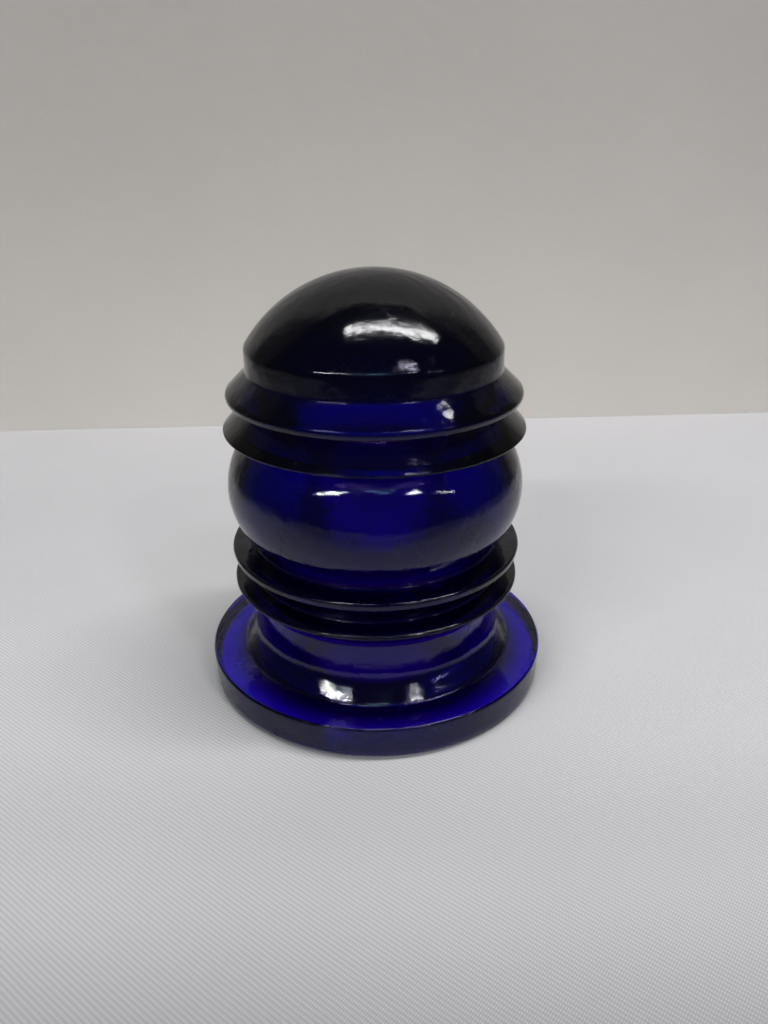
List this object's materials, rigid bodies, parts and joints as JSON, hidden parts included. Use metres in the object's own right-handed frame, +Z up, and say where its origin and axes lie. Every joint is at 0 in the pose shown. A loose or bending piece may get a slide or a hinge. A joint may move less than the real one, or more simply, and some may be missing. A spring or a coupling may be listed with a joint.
{
  "type": "drum lens globe",
  "caption": "Hollow cobalt blue glass lens globe with a domed top, convex belt, prism rings, straight neck and round flange, open at the bottom.",
  "frame": {"origin": "centre of the flange's flat underside", "axes": "+Z up the lens's axis, from the flange to the dome; the piece is round, so X and Y are free"},
  "size_m": [0.115, 0.115, 0.1363],
  "materials": {
    "cobalt_glass": "glossy pressed glass with slight waves, transparent and very deep blue"
  },
  "bodies": {
    "root": {"glass_globe": "cobalt_glass"}
  },
  "joints": []
}
